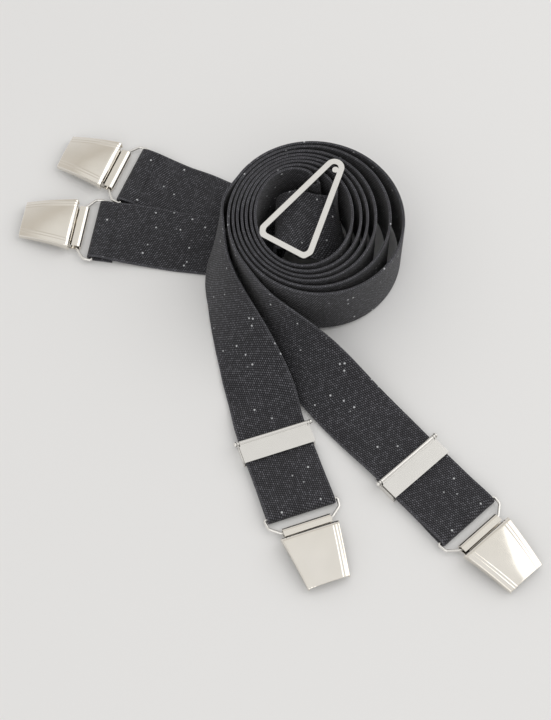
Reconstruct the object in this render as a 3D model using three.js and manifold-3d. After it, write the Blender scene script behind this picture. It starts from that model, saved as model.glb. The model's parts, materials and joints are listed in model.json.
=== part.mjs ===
// Four-clip elastic suspenders with an X back, rolled up and laid on a table.
// Millimetres, +Z up. The two straps are wound together, standing on edge, round the crossing
// ring. The back ends leave flat under the coil, the front ends twist down from its outside.
import * as THREE from 'three';
import { mergeVertices } from 'three/addons/utils/BufferGeometryUtils.js';
import Module from 'manifold-3d';

const wasm = await Module();
wasm.setup();

// ---------- driving dimensions ----------

const layoutCentre = new THREE.Vector3( - 4.35, 4.85, 0 ); // middle of the whole lay-out on the table
const gap = 0.35; // air kept between pieces that touch or nearly touch

const webbing = {
	width: 35,
	thickness: 1.3,
	step: 6, // longest straight piece of a free stretch
	twistStep: 0.15, // most that it may twist over one such piece, in radians
};

// Each turn lies between an inner oval and an outer oval, both measured at the webbing's middle.
const coil = {
	inner: { x: 12.6, y: 64.2, halfX: 24.2, halfY: 30.4 },
	outer: { x: 20.9, y: 61.8, halfX: 44.9, halfY: 46 },
	innerLayer: 0.2, // layer number that lies on the inner oval
	outerLayer: 5.7, // layer number that lies on the outer oval
	slack: 0.13, // how far the middle turns are pushed inwards on the loose right side
	liftLeft: 5.2, // height of the lower edge over the back straps
	liftRight: 0.3, // height of the lower edge where the coil rests on the table
	stepDegrees: 12,
};

const wire = {
	radius: 0.75,
	halfBar: webbing.width / 2 + 1.5, // half the bar that the strap is folded round
	halfNarrowBar: 12.4, // half the bar that the clip hangs on
	reach: 9.2, // from one bar to the other
	corner: 1.2, // length that each corner's curve takes from its two sides
	segments: 40,
};

const sheet = 0.8; // thickness of the metal that the clips and slides are pressed from

// Heights of the bend round the wire, of the wire, and of the two layers of webbing at the slide.
const foldRadius = wire.radius + gap + webbing.thickness / 2;
const barHeight = foldRadius + webbing.thickness / 2;
const returnHeight = sheet + gap + webbing.thickness / 2;
const topHeight = returnHeight + webbing.thickness + gap;

const hinge = { along: 14.5, height: 5.3 }; // where a clip's pin lies
const baseLength = 36; // from the strap's bar to the end of a clip's base

const clip = {
	sheet,
	tabHalf: wire.halfNarrowBar - 0.1,
	tabRadius: barHeight - sheet / 2, // middle of the sheet where it is rolled round the wire
	length: baseLength,
	tipHalf: 9.3,
	lipHeight: 2,
	hookEnd: 2.6, // how far the tab's rolled edge runs back past the wire
	earInset: 0.6,
	earRadius: 1.8,
	pinAlong: hinge.along,
	pinHeight: hinge.height,
	pinRadius: 0.85,
	pinHeadRadius: 1.5,
	knuckleRadius: 2.05,
	coverStart: hinge.along + 1.5,
	coverEnd: baseLength + 4.5,
	coverHalfStart: wire.halfNarrowBar + 2.35,
	coverHalfEnd: 10.5,
	coverHeight: hinge.height + 2.3,
	coverTipHeight: 4.9,
	coverBulge: 1.1, // how far the cover rises above the straight line from hinge to tip
	coverCrown: 0.9, // how far its middle rises above its sides
	flange: 3.2,
	jawStart: hinge.along + 2.7,
	jawHeight: 3.3,
	jawHalf: 9.4,
	padStart: baseLength - 8,
	padEnd: baseLength - 1.8,
	padHeight: 0.8,
	padHalf: 8.3,
	ribPitch: 1.6,
	toothPitch: 2.6,
	toothCount: 7,
	springHalf: 4.5,
	springSheet: 0.3,
	bite: 0.1, // how far two solids of one pressing run into each other where they are joined
};

const slide = {
	sheet,
	half: webbing.width / 2 + 0.55, // half the inside width
	plateHalf: 5, // half the length along the strap
	pinAlong: - 5.6,
	pinHeight: topHeight + webbing.thickness / 2 + 1.4,
	pinRadius: 0.6,
	pinGap: 0.22,
	knuckleRadius: 1.1,
	knobRadius: 1.3,
	coverHeight: topHeight + webbing.thickness / 2 + 1.25,
	coverHalf: webbing.width / 2 + 0.8,
	coverEnd: 5.4,
	fromBar: 36, // distance from the wire loop's bar to the slide's middle
};

const ring = {
	barWidth: 3.0,
	thickness: 1.2,
	height: 57.5,
	foot: 13.2, // half the base, up to the cut corners
	halfBase: 15.7, // half the width over the tops of the cut corners
	cornerHeight: 4.5,
	cornerRound: 1.4,
	apexRadius: 5.2,
	base: new THREE.Vector3( 3.1, 46.4, 33.8 ), // middle of the outer edge of the base
	apex: new THREE.Vector3( 33.6, 95.8, 40.4 ), // tip of the outer edge
	tabRadius: 1.7, // the small tab inside the apex
	tabMiddle: [ 1.1, 51.6 ],
};

// ---------- lay-out of the ends: the wire loop's bar, and the way the clip points ----------

const ends = {
	left_front: { x: 12.3, y: - 83, strapDegrees: - 71, clipDegrees: - 70.8 },
	right_front: { x: 92.6, y: - 88.9, strapDegrees: - 48, clipDegrees: - 48.2 },
	left_back: { x: - 94.6, y: 76.6, strapDegrees: 170.8, clipDegrees: 171.5 },
	right_back: { x: - 77, y: 111.2, strapDegrees: 158, clipDegrees: 158.6 },
};

const metal = ( color, roughness ) => new THREE.MeshStandardMaterial( { color, roughness, metalness: 1 } );
const nickel = metal( 0xcfc8bc, 0.12 );
const satinNickel = metal( 0xd8d6d2, 0.3 );
const steel = metal( 0xb4b2ad, 0.35 );
const elastic = new THREE.MeshStandardMaterial( { color: 0x3a393d, roughness: 0.95, metalness: 0 } );
const rubber = new THREE.MeshStandardMaterial( { color: 0x1c1b1b, roughness: 0.8, metalness: 0 } );

// ---------- solids ----------

function toSolid( geometry ) {

	const bare = geometry.clone();
	bare.deleteAttribute( 'normal' );
	bare.deleteAttribute( 'uv' );
	const merged = mergeVertices( bare, 1e-4 );
	return new wasm.Manifold( new wasm.Mesh( {
		numProp: 3,
		vertProperties: new Float32Array( merged.attributes.position.array ),
		triVerts: new Uint32Array( merged.index.array ),
	} ) );

}

function toGeometry( solid ) {

	const mesh = solid.getMesh();
	const geometry = new THREE.BufferGeometry();
	geometry.setAttribute( 'position', new THREE.BufferAttribute( mesh.vertProperties, 3 ) );
	geometry.setIndex( new THREE.BufferAttribute( mesh.triVerts, 1 ) );
	return geometry;

}

function join( ...geometries ) {

	return toGeometry( geometries.map( toSolid ).reduce( ( sum, next ) => sum.add( next ) ) );

}

function mesh( name, geometry, material ) {

	const result = new THREE.Mesh( geometry, material );
	result.name = name;
	return result;

}

// A box whose lower left front corner and upper right back corner are given.
function boxBetween( low, high ) {

	const box = new THREE.Box3( new THREE.Vector3( ...low ), new THREE.Vector3( ...high ) );
	const size = box.getSize( new THREE.Vector3() );
	const middle = box.getCenter( new THREE.Vector3() );
	return new THREE.BoxGeometry( size.x, size.y, size.z ).translate( middle.x, middle.y, middle.z );

}

// An outline drawn in the plane of Y and Z, made solid from x = low to x = high.
function acrossX( shape, low, high, curveSegments = 10 ) {

	const geometry = new THREE.ExtrudeGeometry( shape, { depth: high - low, bevelEnabled: false, curveSegments } );
	geometry.rotateY( Math.PI / 2 ).rotateX( Math.PI / 2 );
	return geometry.translate( low, 0, 0 );

}

function circle( along, height, radius ) {

	return new THREE.Path().absarc( along, height, radius, 0, 2 * Math.PI, false );

}

// A round bar along X, from its radius at each distance from the middle.
function turnedBar( profile, along, height ) {

	const points = profile.map( ( [ radius, x ] ) => new THREE.Vector2( radius, x ) );
	return new THREE.LatheGeometry( points, 14 ).rotateZ( - Math.PI / 2 ).translate( 0, along, height );

}

// A sheet of even thickness over surface( u, v ), with u and v from 0 to 1.
function pressedSheet( columns, rows, thickness, surface ) {

	const geometry = new THREE.BoxGeometry( 1, 1, 1, columns, rows, 1 );
	const position = geometry.attributes.position;
	const small = 1e-4;
	for ( let i = 0; i < position.count; i ++ ) {

		const u = position.getX( i ) + 0.5;
		const v = position.getY( i ) + 0.5;
		const point = surface( u, v );
		const alongU = surface( u + small, v ).sub( surface( u - small, v ) );
		const alongV = surface( u, v + small ).sub( surface( u, v - small ) );
		const normal = alongU.cross( alongV ).normalize();
		point.addScaledVector( normal, position.getZ( i ) * thickness );
		position.setXYZ( i, point.x, point.y, point.z );

	}

	return geometry;

}

// Carries an outline on round a corner, by a curve that starts and ends the length cut from it.
function turnCorner( shape, before, corner, after, cut ) {

	const from = corner.clone().add( before.clone().sub( corner ).setLength( cut ) );
	const to = corner.clone().add( after.clone().sub( corner ).setLength( cut ) );
	shape.lineTo( from.x, from.y );
	shape.quadraticCurveTo( corner.x, corner.y, to.x, to.y );

}

// A closed outline with its corners rounded off by curves.
function roundedOutline( corners, cut ) {

	const shape = new THREE.Shape();
	const start = corners[ 0 ].clone().lerp( corners.at( - 1 ), 0.5 );
	shape.moveTo( start.x, start.y );
	corners.forEach( ( corner, i ) => {

		turnCorner( shape, corners.at( i - 1 ), corner, corners[ ( i + 1 ) % corners.length ], cut );

	} );
	shape.closePath();
	return shape;

}

// A wire bent along a closed outline that runs anticlockwise: a torus whose circle follows it.
function closedWire( outline, radius, segments ) {

	const geometry = new THREE.TorusGeometry( 1, radius, 8, segments );
	const position = geometry.attributes.position;
	for ( let i = 0; i < position.count; i ++ ) {

		const x = position.getX( i );
		const y = position.getY( i );
		const turn = ( Math.atan2( y, x ) / ( 2 * Math.PI ) + 1 ) % 1;
		const nearest = Math.round( turn * segments ) % segments / segments;
		const point = outline.getPointAt( nearest );
		const tangent = outline.getTangentAt( nearest );
		const outwards = Math.hypot( x, y ) - 1;
		position.setXY( i, point.x + tangent.y * outwards, point.y - tangent.x * outwards );

	}

	return geometry;

}

// ---------- the webbing ----------

const degrees = THREE.MathUtils.degToRad;
const plan = ( angle ) => new THREE.Vector3( Math.cos( degrees( angle ) ), Math.sin( degrees( angle ) ), 0 );

// A station: the middle of the webbing, and the direction from its lower edge to its upper edge.
const station = ( x, y, z, acrossX, acrossY, acrossZ ) => ( {
	at: new THREE.Vector3( x, y, z ),
	across: new THREE.Vector3( acrossX, acrossY, acrossZ ).normalize(),
} );

// A station from a point of each edge, lower edge first.
function edgeStation( low, high ) {

	const from = new THREE.Vector3( ...low );
	const to = new THREE.Vector3( ...high );
	return { at: from.clone().add( to ).multiplyScalar( 0.5 ), across: to.sub( from ).normalize() };

}

function pointOnOval( { x, y, halfX, halfY }, angle ) {

	return new THREE.Vector3( x + halfX * Math.cos( angle ), y + halfY * Math.sin( angle ), 0 );

}

function coilPoint( angle, layer ) {

	const share = ( layer - coil.innerLayer ) / ( coil.outerLayer - coil.innerLayer );
	const middleTurns = Math.sin( Math.PI * THREE.MathUtils.clamp( share, 0, 1 ) ** 1.4 ) ** 2;
	const rightSide = 0.5 + 0.5 * Math.cos( angle );
	const out = share - coil.slack * middleTurns * rightSide;
	const point = pointOnOval( coil.inner, angle ).lerp( pointOnOval( coil.outer, angle ), out );
	return point.setZ( coilLift( point.x ) + webbing.width / 2 );

}

function coilLift( x ) {

	const left = coil.outer.x - coil.outer.halfX;
	const right = coil.outer.x + coil.outer.halfX;
	return THREE.MathUtils.mapLinear( x, left, right, coil.liftLeft, coil.liftRight );

}

// The turns of one strap, from a start angle to an end angle that it reaches after whole turns.
// Two straps are wound together, so each gains two layers a turn.
function coilTurns( startDegrees, endDegrees, turns, endLayer ) {

	const total = endDegrees - startDegrees + 360 * turns;
	const count = Math.round( total / coil.stepDegrees );
	const stations = [];
	for ( let i = 0; i <= count; i ++ ) {

		const left = total * ( 1 - i / count );
		const at = coilPoint( degrees( endDegrees - left ), endLayer - left / 180 );
		stations.push( { at, across: new THREE.Vector3( 0, 0, 1 ) } );

	}

	return stations;

}

// The flat end of a strap: along its run to the wire loop's bar, round it, and back underneath.
// The run lists distances from the bar with the height and sideways slope of the webbing there.
function foldedEnd( end, run, returnHeights, turned ) {

	const out = plan( end.strapDegrees );
	const across = plan( end.strapDegrees + ( turned ? - 90 : 90 ) );
	const place = ( distance, height, slope = 0 ) => ( {
		at: new THREE.Vector3( end.x, end.y, height ).addScaledVector( out, - distance ),
		across: across.clone().setZ( slope ).normalize(),
	} );
	const stations = run.map( ( [ distance, height, slope ] ) => place( distance, height, slope ) );
	const foldSteps = 6;
	for ( let i = 0; i <= foldSteps; i ++ ) {

		const turn = Math.PI * i / foldSteps;
		stations.push( place( - foldRadius * Math.sin( turn ), barHeight + foldRadius * Math.cos( turn ) ) );

	}

	for ( const [ distance, height ] of returnHeights ) stations.push( place( distance, height ) );
	return stations;

}

// Adds stations between those that are far apart, along smooth curves through all of them.
function refine( stations ) {

	const middle = new THREE.CatmullRomCurve3( stations.map( ( s ) => s.at ), false, 'centripetal' );
	const across = new THREE.CatmullRomCurve3( stations.map( ( s ) => s.across ), false, 'catmullrom', 0.5 );
	const last = stations.length - 1;
	const result = [];
	for ( let i = 0; i < last; i ++ ) {

		const distance = stations[ i ].at.distanceTo( stations[ i + 1 ].at );
		const twist = stations[ i ].across.angleTo( stations[ i + 1 ].across );
		const closeEnough = distance < webbing.step * 1.6 && twist < webbing.twistStep;
		const pieces = Math.ceil( Math.max( distance / webbing.step, twist / webbing.twistStep ) );
		const count = closeEnough ? 1 : pieces;
		for ( let k = 0; k < count; k ++ ) {

			const t = ( i + k / count ) / last;
			result.push( { at: middle.getPoint( t ), across: across.getPoint( t ).normalize() } );

		}

	}

	result.push( stations[ last ] );
	return result;

}

// The solid webbing: a long box whose cross-sections are carried to the stations.
function webbingAlong( stations ) {

	const count = stations.length;
	const geometry = new THREE.BoxGeometry( webbing.width, webbing.thickness, 1, 1, 1, count - 1 );
	const position = geometry.attributes.position;
	const frames = stations.map( ( s, i ) => {

		const before = stations[ Math.max( 0, i - 1 ) ].at;
		const after = stations[ Math.min( count - 1, i + 1 ) ].at;
		const along = after.clone().sub( before ).normalize();
		const across = s.across.clone().addScaledVector( along, - s.across.dot( along ) ).normalize();
		return { at: s.at, across, up: along.clone().cross( across ) };

	} );
	for ( let i = 0; i < position.count; i ++ ) {

		const frame = frames[ Math.round( ( position.getZ( i ) + 0.5 ) * ( count - 1 ) ) ];
		const point = frame.at.clone()
			.addScaledVector( frame.across, position.getX( i ) )
			.addScaledVector( frame.up, position.getY( i ) );
		position.setXYZ( i, point.x, point.y, point.z );

	}

	return geometry;

}

const overBar = barHeight + foldRadius;
const underBar = barHeight - foldRadius;
const frontRun = [
	[ slide.fromBar + 11, topHeight ], [ slide.fromBar - 6, topHeight ], [ 14, topHeight ], [ 6, overBar ],
];
const frontReturn = [ [ 6, underBar ], [ 14, returnHeight ], [ slide.fromBar + 9, returnHeight ] ];
const backReturn = [ [ 6, underBar ], [ 11, underBar ] ];

function leftStrap() {

	const backRun = [ [ 44, 2.05, 0.075 ], [ 30, 2.9, 0.1 ], [ 16, 3.75, 0.08 ], [ 6, overBar ] ];
	return refine( [
		...foldedEnd( ends.left_back, backRun, backReturn, true ).reverse(),
		station( - 34.4, 67.3, 2.05, 0.166, 0.986, 0.07 ),
		station( - 20, 65, 2.4, 0.166, 0.986, 0.055 ),
		station( - 7, 62.9, 2.5, 0.166, 0.986, 0.05 ),
		station( - 1, 62, 4, 0.12, 0.99, 0.02 ),
		station( 0.3, 62, 9, 0.08, 0.99, 0 ),
		station( 0.4, 63.92, 20, 0.08, 0.99, 0 ),
		station( 1.5, 65.94, 28, 0.1, 0.99, 0 ),
		station( 6, 65.28, 31, 0.12, 0.986, 0.02 ),
		station( 13, 63.92, 31.32, 0.12, 0.99, 0.05 ),
		station( 21, 62.8, 27.88, - 0.1, 0.95, 0.35 ),
		station( 28, 64.16, 23.76, - 0.42, 0.65, 0.65 ),
		station( 32.4, 69.16, 21, - 0.3, 0.2, 0.94 ),
		...coilTurns( 30, 150, 3, 6.5 ),
		edgeStation( [ - 29.5, 72, 4.6 ], [ - 26.6, 72, 39.3 ] ),
		edgeStation( [ - 34.4, 56, 4.4 ], [ - 26.0, 55, 38 ] ),
		edgeStation( [ - 36.3, 41, 1.6 ], [ - 23, 40, 35 ] ),
		edgeStation( [ - 34.3, 25, 0.8 ], [ - 16.8, 26, 32 ] ),
		edgeStation( [ - 27.7, - 8.5, 0.8 ], [ 0.3, - 1.3, 20.5 ] ),
		edgeStation( [ - 23.5, - 26.8, 1.2 ], [ 9.3, - 17.8, 9 ] ),
		...foldedEnd( ends.left_front, frontRun, frontReturn, false ),
	] );

}

function rightStrap() {

	const backRun = [ [ 38, 0.8 ], [ 26, 0.9 ], [ 16, 2.4 ], [ 6, overBar ] ];
	return refine( [
		...foldedEnd( ends.right_back, backRun, backReturn, true ).reverse(),
		station( - 31, 91.6, 0.76, 0.374, 0.927, 0 ),
		station( - 16, 85.5, 0.76, 0.374, 0.927, 0 ),
		station( - 2, 79.7, 0.8, 0.374, 0.927, 0 ),
		station( 6.6, 75.3, 1.9, 0.35, 0.937, 0 ),
		station( 9.4, 73.6, 8.5, 0.34, 0.94, 0 ),
		station( 9.6, 72.2, 17, 0.31, 0.95, 0 ),
		station( 11.4, 73.9, 24.7, 0.27, 0.96, 0.02 ),
		station( 15.6, 73.7, 26.15, 0.16, 0.98, 0.06 ),
		station( 20.4, 74.3, 23.4, - 0.08, 0.93, 0.35 ),
		station( 23.8, 77.5, 21, - 0.42, 0.55, 0.72 ),
		station( 24.4, 82.7, 20, - 0.2, 0.12, 0.97 ),
		...coilTurns( 76, 215, 3, 5.89 ),
		edgeStation( [ - 9, 15.5, 1.6 ], [ - 3.5, 21, 36.2 ] ),
		edgeStation( [ - 4, - 2, 0.8 ], [ 12.5, 10.6, 30.5 ] ),
		edgeStation( [ 8, - 19, 0.8 ], [ 27.7, 1.1, 23.5 ] ),
		edgeStation( [ 26, - 43, 0.9 ], [ 50.5, - 17, 9.5 ] ),
		...foldedEnd( ends.right_front, frontRun, frontReturn, false ),
	] );

}

// ---------- the crossing ring ----------

// The ring's outline, a triangle with cut corners and a round apex, moved inwards by inset.
function ringOutline( inset ) {

	const { height, foot, halfBase, cornerHeight, cornerRound, apexRadius } = ring;
	const centre = new THREE.Vector2( 0, height - apexRadius );
	const toe = new THREE.Vector2( foot, 0 );
	const heel = new THREE.Vector2( halfBase, cornerHeight );
	const fromCentre = heel.clone().sub( centre );
	const legAngle = fromCentre.angle() + Math.acos( apexRadius / fromCentre.length() ) - 2 * Math.PI;
	const legInwards = new THREE.Vector2( - Math.cos( legAngle ), - Math.sin( legAngle ) );
	const cut = heel.clone().sub( toe ).normalize();
	const cutInwards = new THREE.Vector2( - cut.y, cut.x );
	const baseInwards = new THREE.Vector2( 0, 1 );
	const moveIn = ( corner, first, second ) => {

		const both = first.clone().add( second );
		return corner.clone().addScaledVector( both, inset / ( 1 + first.dot( second ) ) );

	};
	const innerToe = moveIn( toe, baseInwards, cutInwards );
	const innerHeel = moveIn( heel, cutInwards, legInwards );
	const radius = apexRadius - inset;
	const legTop = centre.clone().addScaledVector( legInwards, - radius );
	const mirrored = ( point ) => new THREE.Vector2( - point.x, point.y );
	const shape = new THREE.Shape();
	shape.moveTo( 0, inset );
	turnCorner( shape, mirrored( innerToe ), innerToe, innerHeel, cornerRound );
	turnCorner( shape, innerToe, innerHeel, legTop, cornerRound );
	shape.absarc( 0, centre.y, radius, legAngle, Math.PI - legAngle, false );
	turnCorner( shape, mirrored( legTop ), mirrored( innerHeel ), mirrored( innerToe ), cornerRound );
	turnCorner( shape, mirrored( innerHeel ), mirrored( innerToe ), innerToe, cornerRound );
	shape.closePath();
	return shape;

}

function crossingRing() {

	const shape = ringOutline( 0 );
	shape.holes.push( ringOutline( ring.barWidth ) );
	const flat = { depth: ring.thickness, bevelEnabled: false, curveSegments: 10 };
	const frame = new THREE.ExtrudeGeometry( shape, flat );
	const tabShape = new THREE.Shape().absarc( ...ring.tabMiddle, ring.tabRadius, 0, 2 * Math.PI );
	const tab = new THREE.ExtrudeGeometry( tabShape, flat );
	const along = ring.apex.clone().sub( ring.base ).normalize();
	const side = new THREE.Vector3( along.y, - along.x, 0 ).normalize();
	const up = side.clone().cross( along );
	const result = mesh( 'crossing_ring', join( frame, tab ), satinNickel );
	result.quaternion.setFromRotationMatrix( new THREE.Matrix4().makeBasis( side, along, up ) );
	result.position.copy( ring.base );
	return result;

}

// ---------- a clip: X across, Y from the strap towards the tip, Z up ----------

function wireLoop() {

	const { halfBar, halfNarrowBar, reach, corner } = wire;
	const corners = [
		new THREE.Vector2( - halfBar, 0 ),
		new THREE.Vector2( halfBar, 0 ),
		new THREE.Vector2( halfBar - 0.4, reach * 0.5 ),
		new THREE.Vector2( halfNarrowBar, reach ),
		new THREE.Vector2( - halfNarrowBar, reach ),
		new THREE.Vector2( - halfBar + 0.4, reach * 0.5 ),
	];
	const outline = roundedOutline( corners, corner );
	return closedWire( outline, wire.radius, wire.segments ).translate( 0, 0, barHeight );

}

function clipBase() {

	const { sheet, tabHalf, tabRadius, length, tipHalf, bite, hookEnd } = clip;
	const plate = new THREE.Shape();
	plate.moveTo( - tabHalf, wire.reach );
	plate.lineTo( tabHalf, wire.reach );
	plate.lineTo( tipHalf, length );
	plate.lineTo( - tipHalf, length );
	const plateSolid = new THREE.ExtrudeGeometry( plate, { depth: sheet, bevelEnabled: false } );

	const wireHeight = tabRadius + sheet / 2;
	const outside = tabRadius + sheet / 2;
	const inside = tabRadius - sheet / 2;
	const roll = new THREE.Shape();
	roll.absarc( wire.reach, wireHeight, outside, - Math.PI / 2, Math.PI / 2, true );
	roll.lineTo( wire.reach + hookEnd, wireHeight + outside );
	roll.lineTo( wire.reach + hookEnd, wireHeight + inside );
	roll.absarc( wire.reach, wireHeight, inside, Math.PI / 2, - Math.PI / 2, false );
	const rollSolid = acrossX( roll, - tabHalf, tabHalf );

	const lip = boxBetween( [ - tipHalf, length - sheet, bite ], [ tipHalf, length, clip.lipHeight ] );
	return join( plateSolid, rollSolid, clipEar( 1 ), clipEar( - 1 ), lip );

}

// One of the two ears that hold the hinge pin: side 1 is the right one, side -1 the left one.
function clipEar( side ) {

	const { sheet, tabHalf, earInset, earRadius, pinAlong, pinHeight, pinRadius, bite } = clip;
	const ear = new THREE.Shape();
	ear.moveTo( pinAlong - earRadius * 1.45, bite );
	ear.lineTo( pinAlong + earRadius * 1.55, bite );
	ear.absarc( pinAlong, pinHeight, earRadius, 0, Math.PI, false );
	ear.holes.push( circle( pinAlong, pinHeight, pinRadius + gap ) );
	const middle = side * ( tabHalf - earInset - sheet / 2 );
	return acrossX( ear, middle - sheet / 2, middle + sheet / 2, 6 );

}

// Height of the middle of the cover's sheet, from its hinge end, 0, to its tip, 1.
function coverHeight( v, sideways ) {

	const straight = THREE.MathUtils.lerp( clip.coverHeight, clip.coverTipHeight, v );
	const bulge = clip.coverBulge * Math.sin( Math.PI * Math.min( 1, v * 0.9 + 0.05 ) );
	return straight + bulge - clip.coverCrown * sideways * sideways * ( 0.6 + 0.4 * v );

}

function clipCover() {

	const { coverStart, coverEnd, coverHalfStart, coverHalfEnd, flange, sheet, pinAlong, pinHeight } = clip;
	const topShare = 0.86; // share of the cross-section that is the top, the rest being the two flanges
	const flangeLean = 0.15;
	const surface = ( u, v ) => {

		const half = THREE.MathUtils.lerp( coverHalfStart, coverHalfEnd, v ) - sheet / 2;
		const across = ( 2 * u - 1 ) / topShare;
		const top = THREE.MathUtils.clamp( across, - 1, 1 );
		const down = Math.max( 0, Math.abs( across ) - 1 ) / ( 1 / topShare - 1 );
		const depth = down * flange * ( 1 - 0.45 * v );
		return new THREE.Vector3(
			top * half + Math.sign( across ) * down * flangeLean,
			THREE.MathUtils.lerp( coverStart, coverEnd, v ),
			coverHeight( v, top ) - depth,
		);

	};
	const shell = pressedSheet( 14, 8, sheet, surface );
	const knuckle = new THREE.Shape().absarc( pinAlong, pinHeight, clip.knuckleRadius, 0, 2 * Math.PI );
	knuckle.holes.push( circle( pinAlong, pinHeight, clip.pinRadius + gap ) );
	const knuckleHalf = clip.tabHalf - sheet - clip.earInset - gap;
	const rolled = acrossX( knuckle, - knuckleHalf, knuckleHalf, 8 );
	const neckHeight = pinHeight + clip.knuckleRadius;
	const neck = boxBetween(
		[ - knuckleHalf, pinAlong + 0.2, neckHeight - sheet * 0.75 ],
		[ knuckleHalf, coverStart + 0.9, neckHeight + 0.15 ],
	);
	return join( shell, rolled, neck );

}

// A bar of one radius between two wider heads, from its profile's half length and radii.
function headedBar( half, radius, headRadius, headLength, along, height ) {

	const halfProfile = [
		[ radius, half ], [ headRadius, half ], [ headRadius, half + headLength * 0.4 ],
		[ headRadius * 0.7, half + headLength * 0.85 ], [ 0, half + headLength ],
	];
	const mirrored = halfProfile.map( ( [ r, x ] ) => [ r, - x ] ).reverse();
	return turnedBar( [ ...mirrored, ...halfProfile ], along, height );

}

function clipPin() {

	const half = clip.tabHalf - clip.earInset + gap;
	return headedBar( half, clip.pinRadius, clip.pinHeadRadius, 1.1, clip.pinAlong, clip.pinHeight );

}

function clipJaw() {

	const { jawStart, jawHeight, jawHalf, length, sheet, toothPitch, toothCount } = clip;
	const end = length - sheet - gap;
	const low = [ - jawHalf, jawStart, jawHeight - 0.3 ];
	const high = [ jawHalf, end, jawHeight + 0.4 ];
	const teeth = [];
	for ( let i = 0; i < toothCount; i ++ ) {

		const x = ( i - ( toothCount - 1 ) / 2 ) * toothPitch;
		const tooth = new THREE.CylinderGeometry( 1.1, 0.25, 1.6, 4, 1 ).rotateX( Math.PI / 2 );
		teeth.push( tooth.rotateZ( Math.PI / 4 ).translate( x, end - 0.9, jawHeight - 0.9 ) );

	}

	return join( boxBetween( low, high ), ...teeth );

}

function clipPad() {

	const { padStart, padEnd, padHeight, padHalf, ribPitch, sheet, bite } = clip;
	const bottom = sheet + gap;
	const sole = boxBetween(
		[ - padHalf, padStart, bottom ],
		[ padHalf, padEnd - ribPitch, bottom + padHeight * 0.6 ],
	);
	const ribs = [];
	for ( let y = padStart + 1; y < padEnd - ribPitch; y += ribPitch ) {

		const low = [ - padHalf, y, bottom + bite ];
		ribs.push( boxBetween( low, [ padHalf, y + ribPitch / 2, bottom + padHeight ] ) );

	}

	return join( sole, ...ribs );

}

// A bowed leaf that pushes the jaw up when the cover is lifted.
function clipSpring() {

	const { springHalf, springSheet, jawStart, padStart, jawHeight, sheet } = clip;
	const start = jawStart + 1.5;
	const end = padStart - 2 * gap;
	const low = sheet + gap + springSheet / 2;
	const high = jawHeight - 0.3 - gap - springSheet / 2;
	return pressedSheet( 1, 8, springSheet, ( u, v ) => {

		const bow = Math.sin( Math.PI * THREE.MathUtils.clamp( v, 0, 1 ) ) ** 2;
		return new THREE.Vector3(
			( 2 * u - 1 ) * springHalf,
			THREE.MathUtils.lerp( start, end, v ),
			THREE.MathUtils.lerp( low, high, bow ),
		);

	} );

}

function clipGroup( name, end ) {

	const group = new THREE.Group();
	group.add( mesh( `${ name }_wire_loop`, wireLoop(), satinNickel ) );
	group.add( mesh( `${ name }_clip_base`, clipBase(), nickel ) );
	group.add( mesh( `${ name }_clip_cover`, clipCover(), nickel ) );
	group.add( mesh( `${ name }_hinge_pin`, clipPin(), steel ) );
	group.add( mesh( `${ name }_toothed_jaw`, clipJaw(), steel ) );
	group.add( mesh( `${ name }_grip_pad`, clipPad(), rubber ) );
	group.add( mesh( `${ name }_leaf_spring`, clipSpring(), steel ) );
	group.position.set( end.x, end.y, 0 );
	group.rotation.z = degrees( end.clipDegrees - 90 );
	return group;

}

// ---------- a slide: X across, Y towards the clip, Z up ----------

function slideFrame() {

	const { sheet, half, plateHalf, pinAlong, pinHeight, pinRadius, knuckleRadius } = slide;
	const outside = half + sheet;
	const plate = boxBetween( [ - outside, - plateHalf, 0 ], [ outside, plateHalf, sheet ] );
	const cheekTop = topHeight + webbing.thickness / 2;
	const cheek = new THREE.Shape();
	cheek.moveTo( - plateHalf, clip.bite );
	cheek.lineTo( plateHalf, clip.bite );
	cheek.lineTo( plateHalf - 1, cheekTop );
	cheek.lineTo( pinAlong + 2 * knuckleRadius, cheekTop );
	cheek.absarc( pinAlong, pinHeight, knuckleRadius, 0, Math.PI, false );
	cheek.lineTo( pinAlong - knuckleRadius, pinHeight - 2 );
	cheek.holes.push( circle( pinAlong, pinHeight, pinRadius + slide.pinGap ) );
	return join( plate, acrossX( cheek, half, outside, 6 ), acrossX( cheek, - outside, - half, 6 ) );

}

function slideFlap() {

	const { sheet, half, coverHalf, coverEnd, coverHeight: height, pinAlong, pinHeight, knuckleRadius } = slide;
	const inside = half - gap;
	const start = pinAlong + knuckleRadius + 0.8;
	const plate = boxBetween(
		[ - coverHalf, start, height - sheet / 2 ],
		[ coverHalf, coverEnd, height + sheet / 2 ],
	);
	const knuckle = new THREE.Shape().absarc( pinAlong, pinHeight, knuckleRadius, 0, 2 * Math.PI );
	knuckle.holes.push( circle( pinAlong, pinHeight, slide.pinRadius + slide.pinGap ) );
	const rolled = acrossX( knuckle, - inside, inside, 8 );
	const neck = boxBetween(
		[ - inside, pinAlong + knuckleRadius * 0.8, height - 0.3 ],
		[ inside, start + 0.4, height + 0.35 ],
	);
	return join( plate, rolled, neck );

}

function slidePin() {

	const { half, sheet, pinRadius, knobRadius, pinAlong, pinHeight } = slide;
	return headedBar( half + sheet + 0.3, pinRadius, knobRadius, 1.5, pinAlong, pinHeight );

}

function slideGroup( name, end ) {

	const group = new THREE.Group();
	group.add( mesh( `${ name }_slide_frame`, slideFrame(), satinNickel ) );
	group.add( mesh( `${ name }_slide_flap`, slideFlap(), satinNickel ) );
	group.add( mesh( `${ name }_slide_pin`, slidePin(), satinNickel ) );
	const middle = plan( end.strapDegrees ).multiplyScalar( - slide.fromBar );
	group.position.set( end.x + middle.x, end.y + middle.y, 0 );
	group.rotation.z = degrees( end.strapDegrees - 90 );
	return group;

}

// ---------- the whole ----------

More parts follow.
